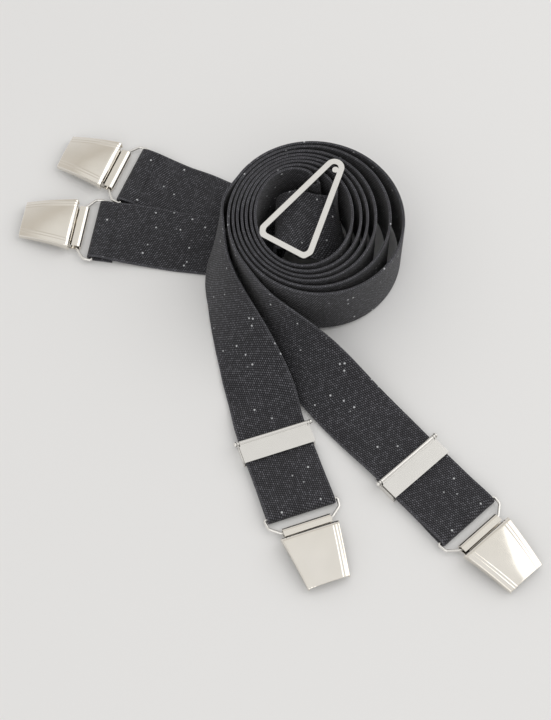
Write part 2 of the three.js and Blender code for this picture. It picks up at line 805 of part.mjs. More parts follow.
const suspenders = new THREE.Group();
suspenders.add( mesh( 'left_strap', webbingAlong( leftStrap() ), elastic ) );
suspenders.add( mesh( 'right_strap', webbingAlong( rightStrap() ), elastic ) );
suspenders.add( crossingRing() );
for ( const [ name, end ] of Object.entries( ends ) ) suspenders.add( clipGroup( name, end ) );
suspenders.add( slideGroup( 'left_front', ends.left_front ) );
suspenders.add( slideGroup( 'right_front', ends.right_front ) );
suspenders.position.copy( layoutCentre ).negate();

export default suspenders;
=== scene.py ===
"""Elastic X-back suspenders, rolled into a coil and laid on a pale table.

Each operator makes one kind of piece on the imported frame: the two woven straps, their sewn seams,
the crossing ring, the wire loops, the lever clips, the slide adjusters and the stage.
"""

import json
import math

import bmesh
import bpy
import numpy as np
from mathutils import Matrix, Vector


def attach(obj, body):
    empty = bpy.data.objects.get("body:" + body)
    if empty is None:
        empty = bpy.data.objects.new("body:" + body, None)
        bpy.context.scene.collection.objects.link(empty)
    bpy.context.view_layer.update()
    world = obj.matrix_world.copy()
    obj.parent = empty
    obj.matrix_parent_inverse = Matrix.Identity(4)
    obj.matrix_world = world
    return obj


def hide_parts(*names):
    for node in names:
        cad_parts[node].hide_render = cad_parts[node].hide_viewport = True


bl_info = {
    "name": "Rolled suspenders",
    "version": (1, 0, 0),
    "blender": (4, 5, 0),
    "location": "View3D > Sidebar > Suspenders",
    "description": "Builds the woven straps, metalware and stage of a pair of rolled suspenders",
    "category": "Object",
}

MM = 0.001
UP = Vector((0, 0, 1))

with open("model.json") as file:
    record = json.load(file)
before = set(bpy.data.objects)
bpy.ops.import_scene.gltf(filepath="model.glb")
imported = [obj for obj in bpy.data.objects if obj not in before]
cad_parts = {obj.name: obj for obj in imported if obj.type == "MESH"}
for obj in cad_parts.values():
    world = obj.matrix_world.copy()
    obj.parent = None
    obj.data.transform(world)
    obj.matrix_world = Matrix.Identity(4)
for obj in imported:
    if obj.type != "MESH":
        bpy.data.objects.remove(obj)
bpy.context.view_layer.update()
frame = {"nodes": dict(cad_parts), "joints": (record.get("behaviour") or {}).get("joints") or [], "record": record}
JOINTS = {joint["name"]: joint for joint in frame["joints"]}
STRAPS = ("left", "right")
ENDS = ("left_front", "right_front", "left_back", "right_back")
FRONT_ENDS = ("left_front", "right_front")
BACK_ENDS = ("left_back", "right_back")


# ---------- small helpers ----------


def linear(hex_colour):
    """An sRGB hex colour as linear red, green and blue."""
    shares = [int(hex_colour[i : i + 2], 16) / 255 for i in (1, 3, 5)]
    return tuple(s / 12.92 if s <= 0.04045 else ((s + 0.055) / 1.055) ** 2.4 for s in shares)


def rgba(colour):
    return (*colour[:3], 1.0)


def add_node(tree, kind, settings=None, inputs=None):
    """Adds a node with its settings, and its inputs set to values or linked to sockets."""
    made = tree.nodes.new(kind)
    for name, value in (settings or {}).items():
        setattr(made, name, value)
    for key, value in (inputs or {}).items():
        if isinstance(value, bpy.types.NodeSocket):
            tree.links.new(value, made.inputs[key])
        else:
            made.inputs[key].default_value = value
    return made


def new_material(name):
    """An empty node material with its output, and its tree."""
    material = bpy.data.materials.new(name)
    material.use_nodes = True
    tree = material.node_tree
    tree.nodes.clear()
    return material, tree


def finish_material(tree, shader):
    add_node(tree, "ShaderNodeOutputMaterial", inputs={"Surface": shader.outputs["BSDF"]})


def new_piece(name, vertices, faces, material, body):
    """A smooth mesh object made from points and faces, riding on its body."""
    mesh = bpy.data.meshes.new(name)
    mesh.from_pydata([tuple(v) for v in vertices], [], faces)
    piece = bpy.data.objects.new(name, mesh)
    bpy.context.collection.objects.link(piece)
    mesh.materials.append(material)
    mesh.shade_smooth()
    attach(piece, body)
    return piece


def bake_modifiers(piece):
    """Replaces a piece's mesh by the result of its modifiers."""
    depsgraph = bpy.context.evaluated_depsgraph_get()
    baked = bpy.data.meshes.new_from_object(piece.evaluated_get(depsgraph))
    baked.name = piece.name
    piece.modifiers.clear()
    piece.data = baked


def point_outwards(mesh):
    shape = bmesh.new()
    shape.from_mesh(mesh)
    bmesh.ops.recalc_face_normals(shape, faces=shape.faces)
    shape.to_mesh(mesh)
    shape.free()


def body_of_node(node):
    return next(name for name, nodes in frame["record"]["behaviour"]["bodies"].items() if node in nodes)


def local_frame(hinge):
    """The frame of a clip or slide from one of its hinges: X along the hinge, Z up, origin on the table."""
    across = Vector(JOINTS[hinge]["axis"]).normalized()
    along = UP.cross(across)
    origin = Vector(JOINTS[hinge]["pos_m"])
    origin.z = 0
    turn = Matrix((across, along, UP)).transposed().to_4x4()
    return Matrix.Translation(origin) @ turn


def local_points(node, place):
    """The vertices of a CAD node in a local frame, as an array."""
    inverse = place.inverted()
    return np.array([inverse @ v.co for v in frame["nodes"][node].data.vertices])


# ---------- sizes and colours ----------


class WebbingSettings(bpy.types.PropertyGroup):
    """Sizes and colours of the woven straps."""

    edge_radius: bpy.props.FloatProperty(
        name="Edge radius",
        description="Rounding of the selvages",
        default=0.5 * MM,
        unit="LENGTH",
    )
    step: bpy.props.FloatProperty(
        name="Step",
        description="Longest piece of the mesh along a strap",
        default=1.5 * MM,
        unit="LENGTH",
    )
    yarn_pitch: bpy.props.FloatProperty(
        name="Yarn pitch",
        description="Distance between neighbouring yarns, drawn a little coarse so that it shows",
        default=1 * MM,
        unit="LENGTH",
    )
    nep_pitch: bpy.props.FloatProperty(
        name="Nep pitch",
        description="Usual distance between the small white neps in the yarn",
        default=5.5 * MM,
        unit="LENGTH",
    )
    ground: bpy.props.FloatVectorProperty(
        name="Ground colour",
        description="Darkest yarn",
        default=linear("#101012"),
        subtype="COLOR",
        min=0,
        max=1,
    )
    melange: bpy.props.FloatVectorProperty(
        name="Melange colour",
        description="Lightest of the usual yarn floats",
        default=linear("#7c7c83"),
        subtype="COLOR",
        min=0,
        max=1,
    )
    nep: bpy.props.FloatVectorProperty(
        name="Nep colour",
        description="Colour of the small white neps",
        default=linear("#cfd1d4"),
        subtype="COLOR",
        min=0,
        max=1,
    )
    stitch_length: bpy.props.FloatProperty(
        name="Stitch length",
        description="Length of one stitch of the end seams",
        default=2.4 * MM,
        unit="LENGTH",
    )
    stitch_gap: bpy.props.FloatProperty(
        name="Stitch gap",
        description="Space between two stitches",
        default=0.7 * MM,
        unit="LENGTH",
    )
    thread_radius: bpy.props.FloatProperty(
        name="Thread radius",
        description="Radius of the sewing thread",
        default=0.2 * MM,
        unit="LENGTH",
    )
    seam_distance: bpy.props.FloatProperty(
        name="Seam distance",
        description="From the wire loop's bar to the seam across a back end",
        default=8.5 * MM,
        unit="LENGTH",
    )


class MetalSettings(bpy.types.PropertyGroup):
    """Sizes and colours of the metalware."""

    burr: bpy.props.FloatProperty(
        name="Edge rounding",
        description="Rounding that tumbling leaves on a pressed edge",
        default=0.14 * MM,
        unit="LENGTH",
    )
    ridge_height: bpy.props.FloatProperty(
        name="Ridge height",
        description="Height of the embossed ridges of a clip's cover",
        default=0.1 * MM,
        unit="LENGTH",
    )
    ridge_width: bpy.props.FloatProperty(
        name="Ridge width",
        description="Width of one embossed ridge",
        default=0.9 * MM,
        unit="LENGTH",
    )
    ridge_inset: bpy.props.FloatProperty(
        name="Ridge inset",
        description="From the cover's side to the middle of the outer ridge",
        default=2.3 * MM,
        unit="LENGTH",
    )
    ridge_pitch: bpy.props.FloatProperty(
        name="Ridge pitch",
        description="From one ridge to the other",
        default=1.5 * MM,
        unit="LENGTH",
    )
    cover_bulge: bpy.props.FloatProperty(
        name="Cover bulge",
        description="How far a cover rises above the straight line from hinge to tip",
        default=1.1 * MM,
        unit="LENGTH",
    )
    cover_crown: bpy.props.FloatProperty(
        name="Cover crown",
        description="How far a cover's middle rises above its sides",
        default=0.9 * MM,
        unit="LENGTH",
    )
    lip_length: bpy.props.FloatProperty(
        name="Lip length",
        description="Length of the cover's edge that is rolled down towards the hinge",
        default=2.0 * MM,
        unit="LENGTH",
    )
    lip_drop: bpy.props.FloatProperty(
        name="Lip drop",
        description="How far that edge is rolled down",
        default=0.9 * MM,
        unit="LENGTH",
    )
    bright: bpy.props.FloatVectorProperty(
        name="Bright nickel",
        description="Colour of the polished clips",
        default=linear("#f0ebe2"),
        subtype="COLOR",
        min=0,
        max=1,
    )
    satin: bpy.props.FloatVectorProperty(
        name="Satin nickel",
        description="Colour of the slides, ring and wire loops",
        default=linear("#eceae6"),
        subtype="COLOR",
        min=0,
        max=1,
    )
    steel: bpy.props.FloatVectorProperty(
        name="Plated steel",
        description="Colour of the pins, jaws and springs",
        default=linear("#c9c6c0"),
        subtype="COLOR",
        min=0,
        max=1,
    )


class StageSettings(bpy.types.PropertyGroup):
    """Camera, table and light."""

    elevation: bpy.props.FloatProperty(
        name="Camera elevation",
        description="Angle of the camera above the table",
        default=math.radians(62.7),
        subtype="ANGLE",
    )
    distance: bpy.props.FloatProperty(
        name="Camera distance",
        description="From the camera to the point that it looks at",
        default=0.82,
        unit="LENGTH",
    )
    target: bpy.props.FloatVectorProperty(
        name="Camera target",
        description="Point of the table that the camera looks at",
        default=(4.35 * MM, -4.85 * MM, 0),
        subtype="TRANSLATION",
    )
    lens: bpy.props.FloatProperty(
        name="Lens",
        description="Focal length in millimetres, for a sensor 36 mm long",
        default=80,
    )
    table: bpy.props.FloatVectorProperty(
        name="Table colour",
        description="Pale paper that the suspenders lie on",
        default=linear("#eaeaea"),
        subtype="COLOR",
        min=0,
        max=1,
    )


# ---------- materials ----------


def webbing_material(sizes, half_girth, selvage_middle):
    """Woven polyester and rubber elastic in a charcoal melange: matt, with a dotted twill of light and
    dark yarn floats, paler selvages and many small white neps. Its UV map is in metres, across and
    along the strap, and the two selvages lie half_girth apart in it."""
    material, tree = new_material("melange_elastic_webbing")
    uv = add_node(tree, "ShaderNodeUVMap", {"uv_map": "webbing"})
    place = add_node(tree, "ShaderNodeSeparateXYZ", inputs={0: uv.outputs["UV"]})

    def math_node(operation, a, b=0.0, c=0.0):
        node = add_node(tree, "ShaderNodeMath", {"operation": operation}, {0: a, 1: b, 2: c})
        return node.outputs[0]

    # Twill: each column of yarn is set off from the last one by part of a float.
    column = math_node("DIVIDE", place.outputs["X"], sizes.yarn_pitch)
    column_number = math_node("FLOOR", column)
    set_off = math_node("MULTIPLY", column_number, 0.36)
    row = math_node("ADD", math_node("DIVIDE", place.outputs["Y"], sizes.yarn_pitch * 1.25), set_off)
    row_number = math_node("FLOOR", row)

    def dome(value):
        """Rises from 0 at a float's two sides to 1 at its middle."""
        centred = math_node("SUBTRACT", math_node("FRACT", value), 0.5)
        return math_node("COSINE", math_node("MULTIPLY", centred, math.pi))

    height = math_node("MULTIPLY", dome(column), dome(row))
    cell = add_node(tree, "ShaderNodeCombineXYZ", inputs={0: column_number, 1: row_number})
    chance = add_node(tree, "ShaderNodeTexWhiteNoise", {"noise_dimensions": "2D"}, {0: cell.outputs[0]})
    lightness = math_node("MULTIPLY_ADD", math_node("POWER", chance.outputs["Value"], 2.5), 0.5, 0.36)
    shown = math_node("MULTIPLY", lightness, math_node("POWER", height, 1.3))
    metres = add_node(tree, "ShaderNodeTexCoord").outputs["UV"]
    cloud = add_node(
        tree, "ShaderNodeTexNoise", inputs={"Vector": metres, "Scale": 45.0, "Detail": 4.0}
    ).outputs["Fac"]
    cloudy = add_node(
        tree, "ShaderNodeMapRange", inputs={0: cloud, 1: 0.3, 2: 0.7, 3: 0.88, 4: 1.12}
    ).outputs[0]
    turned = math_node("ADD", math_node("DIVIDE", place.outputs["X"], half_girth), 0.5)
    turned = math_node("FRACT", math_node("SUBTRACT", turned, selvage_middle / half_girth))
    from_selvage = math_node("ABSOLUTE", math_node("SUBTRACT", turned, 0.5))
    selvage = add_node(
        tree,
        "ShaderNodeMapRange",
        inputs={0: from_selvage, 1: 1.7 * MM / half_girth, 2: 0.9 * MM / half_girth, 3: 0.0, 4: 0.12},
    ).outputs[0]
    light_share = math_node("ADD", math_node("MULTIPLY", shown, cloudy), selvage)
    floats = add_node(
        tree,
        "ShaderNodeMix",
        {"data_type": "RGBA"},
        {0: light_share, 6: rgba(sizes.ground), 7: rgba(sizes.melange)},
    ).outputs[2]
    neps = add_node(
        tree,
        "ShaderNodeTexVoronoi",
        inputs={"Vector": metres, "Scale": 1 / sizes.nep_pitch, "Randomness": 1.0},
    )
    near = add_node(
        tree, "ShaderNodeMapRange", inputs={0: neps.outputs["Distance"], 1: 0.12, 2: 0.06, 3: 0.0, 4: 0.9}
    ).outputs[0]
    picked = math_node("GREATER_THAN", neps.outputs["Color"], 0.3)
    speckled = add_node(
        tree,
        "ShaderNodeMix",
        {"data_type": "RGBA"},
        {0: math_node("MULTIPLY", near, picked), 6: floats, 7: rgba(sizes.nep)},
    ).outputs[2]
    bump = add_node(
        tree,
        "ShaderNodeBump",
        inputs={"Height": height, "Distance": 0.22 * MM, "Strength": 0.85},
    )
    shader = add_node(
        tree,
        "ShaderNodeBsdfPrincipled",
        inputs={
            "Base Color": speckled,
            "Roughness": 0.88,
            "Normal": bump.outputs[0],
            "Sheen Weight": 0.12,
            "Sheen Roughness": 0.5,
            "Specular IOR Level": 0.25,
        },
    )
    finish_material(tree, shader)
    return material


def thread_material(sizes):
    """Spun polyester thread, twisted: a matt cord a shade darker than the webbing."""
    material, tree = new_material("spun_polyester_thread")
    place = add_node(tree, "ShaderNodeTexCoord").outputs["Object"]
    twist = add_node(
        tree,
        "ShaderNodeTexWave",
        {"bands_direction": "DIAGONAL"},
        {"Vector": place, "Scale": 1 / (1.2 * MM), "Distortion": 1.5},
    )
    ramp = add_node(tree, "ShaderNodeValToRGB", inputs={0: twist.outputs["Fac"]})
    ramp.color_ramp.elements[0].color = rgba(tuple(c * 0.7 for c in sizes.ground))
    ramp.color_ramp.elements[1].color = rgba(tuple(c * 1.9 for c in sizes.ground))
    bump = add_node(
        tree, "ShaderNodeBump", inputs={"Height": twist.outputs["Fac"], "Distance": 0.05 * MM}
    )
    shader = add_node(
        tree,
        "ShaderNodeBsdfPrincipled",
        inputs={"Base Color": ramp.outputs[0], "Roughness": 0.7, "Normal": bump.outputs[0]},
    )
    finish_material(tree, shader)
    return material


def plated_metal(name, colour, roughness, smudge, wave, grain_size, grain_depth):
    """Electroplated metal. Smudge varies the gloss as handling does, wave is the height of the ripple
    that pressing and polishing leave, and the grain is what the blank's rolling leaves."""
    material, tree = new_material(name)
    place = add_node(tree, "ShaderNodeTexCoord").outputs["Object"]
    ripple = add_node(
        tree, "ShaderNodeTexNoise", inputs={"Vector": place, "Scale": 1 / (9 * MM), "Detail": 1.0}
    )
    grain = add_node(
        tree,
        "ShaderNodeTexNoise",
        inputs={"Vector": place, "Scale": 1 / grain_size, "Detail": 2.0},
    )
    gloss = add_node(
        tree,
        "ShaderNodeMapRange",
        inputs={0: grain.outputs["Fac"], 1: 0.3, 2: 0.7, 3: roughness - smudge, 4: roughness + smudge},
    )
    dim = tuple(c * 0.93 for c in colour)
    tint = add_node(
        tree,
        "ShaderNodeMix",
        {"data_type": "RGBA"},
        {0: ripple.outputs["Fac"], 6: rgba(colour), 7: rgba(dim)},
    )
    bump = add_node(
        tree, "ShaderNodeBump", inputs={"Height": ripple.outputs["Fac"], "Distance": wave}
    )
    fine = add_node(
        tree,
        "ShaderNodeBump",
        inputs={"Height": grain.outputs["Fac"], "Distance": grain_depth, "Normal": bump.outputs[0]},
    )
    shader = add_node(
        tree,
        "ShaderNodeBsdfPrincipled",
        inputs={
            "Base Color": tint.outputs[2],
            "Metallic": 1.0,
            "Roughness": gloss.outputs[0],
            "Normal": fine.outputs[0],
        },
    )
    finish_material(tree, shader)
    return material


def rubber_material():
    """Moulded black rubber of the grip pads: matt, with a fine grain."""
    material, tree = new_material("moulded_rubber")
    place = add_node(tree, "ShaderNodeTexCoord").outputs["Object"]
    grain = add_node(
        tree, "ShaderNodeTexNoise", inputs={"Vector": place, "Scale": 1 / (0.4 * MM), "Detail": 3.0}
    )
    ramp = add_node(tree, "ShaderNodeValToRGB", inputs={0: grain.outputs["Fac"]})
    ramp.color_ramp.elements[0].color = rgba(linear("#141414"))
    ramp.color_ramp.elements[1].color = rgba(linear("#2a2928"))
    bump = add_node(
        tree, "ShaderNodeBump", inputs={"Height": grain.outputs["Fac"], "Distance": 0.05 * MM}
    )
    shader = add_node(
        tree,
        "ShaderNodeBsdfPrincipled",
        inputs={"Base Color": ramp.outputs[0], "Roughness": 0.75, "Normal": bump.outputs[0]},
    )
    finish_material(tree, shader)
    return material


def paper_material(colour):
    """Matt pale paper with the faintest unevenness."""
    material, tree = new_material("matt_background_paper")
    place = add_node(tree, "ShaderNodeTexCoord").outputs["Object"]
    cloud = add_node(
        tree, "ShaderNodeTexNoise", inputs={"Vector": place, "Scale": 3.0, "Detail": 2.0}
    )
    tone = add_node(
        tree,
        "ShaderNodeMix",
        {"data_type": "RGBA"},
        {0: cloud.outputs["Fac"], 6: rgba(colour), 7: rgba(tuple(c * 0.985 for c in colour))},
    )
    shader = add_node(
        tree,
        "ShaderNodeBsdfPrincipled",
        inputs={"Base Color": tone.outputs[2], "Roughness": 0.9, "Specular IOR Level": 0.2},
    )
    finish_material(tree, shader)
    return material


def shared_material(name, make):
    """A material that several operators use is made once."""
    return bpy.data.materials.get(name) or make()


def bright_nickel():
    """Polished nickel plate of the clips: a warm mirror with a slight ripple."""
    colour = tuple(bpy.context.scene.suspenders_metal.bright)
    return shared_material(
        "polished_nickel_plate",
        lambda: plated_metal("polished_nickel_plate", colour, 0.12, 0.02, 0.05 * MM, 3 * MM, 0.0008 * MM),
    )


def satin_nickel():
    """Satin nickel plate of the slides, ring and wire: a soft, nearly white sheen with brush marks."""
    colour = tuple(bpy.context.scene.suspenders_metal.satin)
    return shared_material(
        "satin_nickel_plate",
        lambda: plated_metal("satin_nickel_plate", colour, 0.22, 0.01, 0.004 * MM, 8 * MM, 0.0001 * MM),
    )


def plated_steel():
    """Zinc-nickel plated spring steel of the pins, jaws and springs: grey and half matt."""
    colour = tuple(bpy.context.scene.suspenders_metal.steel)
    return shared_material(
        "plated_spring_steel",
        lambda: plated_metal("plated_spring_steel", colour, 0.34, 0.05, 0.02 * MM, 1 * MM, 0.002 * MM),
    )


# ---------- the straps ----------


def strap_rings(node):
    """The cross-sections of a strap's solid in order, as an array of rings of four corners.

    Neighbouring cross-sections are joined by edges and others aren't, so walking outwards from the
    four corners of one end meets them one by one."""
    shape = bmesh.new()
    shape.from_mesh(frame["nodes"][node].data)
    bmesh.ops.remove_doubles(shape, verts=shape.verts, dist=0.002 * MM)
    shape.verts.ensure_lookup_table()
    neighbours = [{edge.other_vert(v).index for edge in v.link_edges} for v in shape.verts]
    points = [v.co.copy() for v in shape.verts]
    quads = {
        frozenset(v.index for face in edge.link_faces for v in face.verts)
        for edge in shape.edges
        if len(edge.link_faces) == 2 and edge.calc_face_angle() < math.radians(2)
    }
    shape.free()

    def walk(first):
        rings, seen = [sorted(first)], set(first)
        while True:
            following = set().union(*(neighbours[i] for i in rings[-1])) - seen
            if not following:
                return rings
            if len(following) != 4:
                return None
            rings.append(sorted(following))
            seen |= following

    walks = (walk(quad) for quad in quads if len(quad) == 4)
    rings = max((w for w in walks if w), key=len)
    return [[points[i] for i in ring] for ring in rings]


# every order of four corners
PERMUTATIONS = [
    (a, b, c, 6 - a - b - c)
    for a in range(4)
    for b in range(4)
    for c in range(4)
    if len({a, b, c}) == 3
]


def in_step(rings):
    """The rings with their corners in one order: both corners of one edge, then both of the other."""
    first = rings[0]
    mate = min(first[1:], key=lambda p: (p - first[0]).length)
    others = [p for p in first[1:] if p is not mate]
    others.sort(key=lambda p: (p - mate).length)
    ordered = [[first[0], mate, *others]]
    for ring in rings[1:]:
        last = ordered[-1]
        orders = [[ring[i] for i in order] for order in PERMUTATIONS]
        best = min(orders, key=lambda order: sum((p - q).length for p, q in zip(order, last)))
        ordered.append(best)
    return ordered


def smooth_path(points, directions, step, turn_step=math.radians(5)):
    """Points along a smooth curve through the given ones, with a direction carried along it.

    Returns places, tangents and directions as arrays."""
    points = np.array(points)
    directions = np.array(directions)
    lengths = np.linalg.norm(np.diff(points, axis=0), axis=1)
    along = np.concatenate([[0], np.cumsum(lengths)])

    def slopes(values):
        rates = np.diff(values, axis=0) / lengths[:, None]
        inner = (rates[1:] * lengths[:-1, None] + rates[:-1] * lengths[1:, None]) / (
            lengths[1:, None] + lengths[:-1, None]
        )
        return np.concatenate([rates[:1], inner, rates[-1:]])

    point_slopes, direction_slopes = slopes(points), slopes(directions)
    places, tangents, carried = [], [], []
    last = len(points) - 2
    for k, length in enumerate(lengths):
        a, b = point_slopes[k], point_slopes[k + 1]
        turn = math.acos(np.clip(a @ b / np.linalg.norm(a) / np.linalg.norm(b), -1, 1))
        pieces = max(1, math.ceil(length / step), math.ceil(turn / turn_step))
        for i in range(pieces + (k == last)):
            t = i / pieces
            weights = (2 * t**3 - 3 * t**2 + 1, -2 * t**3 + 3 * t**2)
            pulls = ((t**3 - 2 * t**2 + t) * length, (t**3 - t**2) * length)
            rate = ((6 * t**2 - 6 * t) / length, 3 * t**2 - 4 * t + 1, 3 * t**2 - 2 * t)
            places.append(
                weights[0] * points[k] + weights[1] * points[k + 1] + pulls[0] * a + pulls[1] * b
            )
            tangents.append(rate[0] * (points[k] - points[k + 1]) + rate[1] * a + rate[2] * b)
            carried.append(
                weights[0] * directions[k]
                + weights[1] * directions[k + 1]
                + pulls[0] * direction_slopes[k]
                + pulls[1] * direction_slopes[k + 1]
            )
    tangents = np.array(tangents)
    tangents /= np.linalg.norm(tangents, axis=1)[:, None]
    carried = np.array(carried)
    carried -= tangents * np.sum(carried * tangents, axis=1)[:, None]
    carried /= np.linalg.norm(carried, axis=1)[:, None]
    return np.array(places), tangents, carried


def webbing_profile(width, thickness, radius):
    """The webbing's cross-section: a flat oblong with round edges, and each point's UV across."""
    half, flat = width / 2, width / 2 - radius
    side = thickness / 2 - radius
    spans, steps = 14, 4
    across = [flat - 2 * flat * i / spans for i in range(spans + 1)]
    corner = [math.radians(90 * i / steps) for i in range(1, steps)]
    upper = [(x, thickness / 2) for x in across]
    round_left = [(-flat - radius * math.sin(a), side + radius * math.cos(a)) for a in corner]
    left = round_left + [(-half, side), (-half, -side)] + [(x, -z) for x, z in reversed(round_left)]
    lower = [(-x, -z) for x, z in upper]
    right = [(-x, -z) for x, z in left]
    points = upper + left + lower + right
    across_uv, total = [0.0], 0.0
    for (x0, z0), (x1, z1) in zip(points, points[1:] + points[:1]):
        total += math.hypot(x1 - x0, z1 - z0)
        across_uv.append(total)
    return points, across_uv


def sweep(name, profile, across_uv, places, tangents, carried, material, body):
    """A closed band that carries the profile along the path, with a UV map in metres."""
    normals = np.cross(tangents, carried)
    vertices = [
        place + x * across + z * normal
        for place, across, normal in zip(places, carried, normals)
        for x, z in profile
    ]
    count, rings = len(profile), len(places)
    along = np.concatenate([[0], np.cumsum(np.linalg.norm(np.diff(places, axis=0), axis=1))])
    faces, uvs = [], []
    for k in range(rings - 1):
        for i in range(count):
            j = (i + 1) % count
            faces.append((k * count + i, k * count + j, (k + 1) * count + j, (k + 1) * count + i))
            left, right = across_uv[i], across_uv[i + 1]
            uvs += [(left, along[k]), (right, along[k]), (right, along[k + 1]), (left, along[k + 1])]
    for start in (0, (rings - 1) * count):
        ring = list(range(start, start + count))
        faces.append(tuple(ring if start else reversed(ring)))
        uvs += [profile[i - start] for i in faces[-1]]
    piece = new_piece(name, vertices, faces, material, body)
    layer = piece.data.uv_layers.new(name="webbing")
    layer.uv.foreach_set("vector", np.array(uvs, dtype=np.float32).ravel())
    if signed_volume(piece.data) < 0:
        piece.data.flip_normals()
    return piece, float(along[-1])


def signed_volume(mesh):
    shape = bmesh.new()
    shape.from_mesh(mesh)
    volume = shape.calc_volume(signed=True)
    shape.free()
    return volume


class SUSPENDERS_OT_straps(bpy.types.Operator):
    """Weave the two elastic straps along their solids"""

    bl_idname = "suspenders.straps"
    bl_label = "Straps"

    def execute(self, context):
        sizes = context.scene.suspenders_webbing
        for strap in STRAPS:
            node = f"{strap}_strap"
            rings = in_step(strap_rings(node))
            corners = np.array([[tuple(p) for p in ring] for ring in rings])
            middles = corners.mean(axis=1)
            edge_to_edge = corners[:, :2].mean(axis=1) - corners[:, 2:].mean(axis=1)
            width = float(np.median(np.linalg.norm(edge_to_edge, axis=1)))
            thickness = float(np.median(np.linalg.norm(corners[:, 0] - corners[:, 1], axis=1)))
            directions = edge_to_edge / np.linalg.norm(edge_to_edge, axis=1)[:, None]
            places, tangents, carried = smooth_path(middles, directions, sizes.step)
            profile, across_uv = webbing_profile(width, thickness, sizes.edge_radius)
            half_girth = across_uv[-1] / 2
            selvage_middle = (width - 2 * sizes.edge_radius + half_girth) / 2
            material = shared_material(
                "melange_elastic_webbing", lambda: webbing_material(sizes, half_girth, selvage_middle)
            )
            piece, length = sweep(
                f"{strap}_webbing", profile, across_uv, places, tangents, carried, material, "straps"
            )
            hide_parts(node)
        return {"FINISHED"}


# ---------- the seams ----------


def stitch_tree(material):
    """A node group that turns a line of points into a row of stitches."""
    tree = bpy.data.node_groups.new("row_of_stitches", "GeometryNodeTree")
    face = tree.interface
    face.new_socket("Geometry", in_out="INPUT", socket_type="NodeSocketGeometry")
    for name, default in (("Pitch", 3.1 * MM), ("Stitch Length", 2.4 * MM), ("Thread Radius", 0.2 * MM)):
        socket = face.new_socket(name, in_out="INPUT", socket_type="NodeSocketFloat")
        socket.default_value = default
    seed = face.new_socket("Seed", in_out="INPUT", socket_type="NodeSocketInt")
    seed.default_value = 4
    face.new_socket("Geometry", in_out="OUTPUT", socket_type="NodeSocketGeometry")
    given = add_node(tree, "NodeGroupInput")
    line = add_node(tree, "GeometryNodeMeshToCurve", inputs={0: given.outputs["Geometry"]})
    points = add_node(
        tree,
        "GeometryNodeCurveToPoints",
        {"mode": "LENGTH"},
        {"Curve": line.outputs[0], "Length": given.outputs["Pitch"]},
    )
    ball = add_node(tree, "GeometryNodeMeshUVSphere", inputs={"Segments": 8, "Rings": 6, "Radius": 1.0})
    half = add_node(
        tree, "ShaderNodeMath", {"operation": "MULTIPLY"}, {0: given.outputs["Stitch Length"], 1: 0.5}
    )
    size = add_node(
        tree,
        "ShaderNodeCombineXYZ",
        inputs={
            0: given.outputs["Thread Radius"],
            1: given.outputs["Thread Radius"],
            2: half.outputs[0],
        },
    )
    sway = add_node(
        tree,
        "FunctionNodeRandomValue",
        {"data_type": "FLOAT_VECTOR"},
        {0: (-0.05, -0.05, -0.05), 1: (0.05, 0.05, 0.05), "Seed": given.outputs["Seed"]},
    )
    swayed = add_node(
        tree,
        "FunctionNodeRotateRotation",
        inputs={0: points.outputs["Rotation"], 1: sway.outputs[0]},
    )
    stitches = add_node(
        tree,
        "GeometryNodeInstanceOnPoints",
        inputs={
            "Points": points.outputs["Points"],
            "Instance": ball.outputs["Mesh"],
            "Rotation": swayed.outputs[0],
            "Scale": size.outputs[0],
        },
    )
    real = add_node(tree, "GeometryNodeRealizeInstances", inputs={0: stitches.outputs[0]})
    coloured = add_node(
        tree, "GeometryNodeSetMaterial", inputs={0: real.outputs[0], "Material": material}
    )
    add_node(tree, "NodeGroupOutput", inputs={0: coloured.outputs[0]})
    return tree


def set_input(modifier, tree, name, value):
    """Sets a modifier's input by its socket's identifier."""
    socket = next(s for s in tree.interface.items_tree if s.name == name and s.in_out == "INPUT")
    modifier[socket.identifier] = value


class SUSPENDERS_OT_seams(bpy.types.Operator):
    """Sew the folded back ends of the straps"""

    bl_idname = "suspenders.seams"
    bl_label = "End seams"

    def execute(self, context):
        sizes = context.scene.suspenders_webbing
        material = thread_material(sizes)
        tree = stitch_tree(material)
        half, steps, drop, lift = 16 * MM, 32, 20 * MM, 0.4
        for end in BACK_ENDS:
            strap = end.split("_")[0]
            place = local_frame(f"{end}_loop_swing")
            webbing = bpy.data.objects[f"{strap}_webbing"]
            row = []
            for i in range(steps + 1):
                x = -half + 2 * half * i / steps
                above = place @ Vector((x, -sizes.seam_distance, drop))
                hit, where, _, _ = webbing.ray_cast(above, -UP)
                if hit:
                    row.append(where + UP * sizes.thread_radius * lift)
            line = bpy.data.meshes.new(f"{end}_seam")
            line.from_pydata(row, [(i, i + 1) for i in range(len(row) - 1)], [])
            seam = bpy.data.objects.new(f"{end}_seam", line)
            context.collection.objects.link(seam)
            modifier = seam.modifiers.new("Stitches", "NODES")
            modifier.node_group = tree
            set_input(modifier, tree, "Pitch", sizes.stitch_length + sizes.stitch_gap)
            set_input(modifier, tree, "Stitch Length", sizes.stitch_length)
            set_input(modifier, tree, "Thread Radius", sizes.thread_radius)
            bake_modifiers(seam)
            seam.data.shade_smooth()
            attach(seam, "straps")
        return {"FINISHED"}


# ---------- metalware ----------


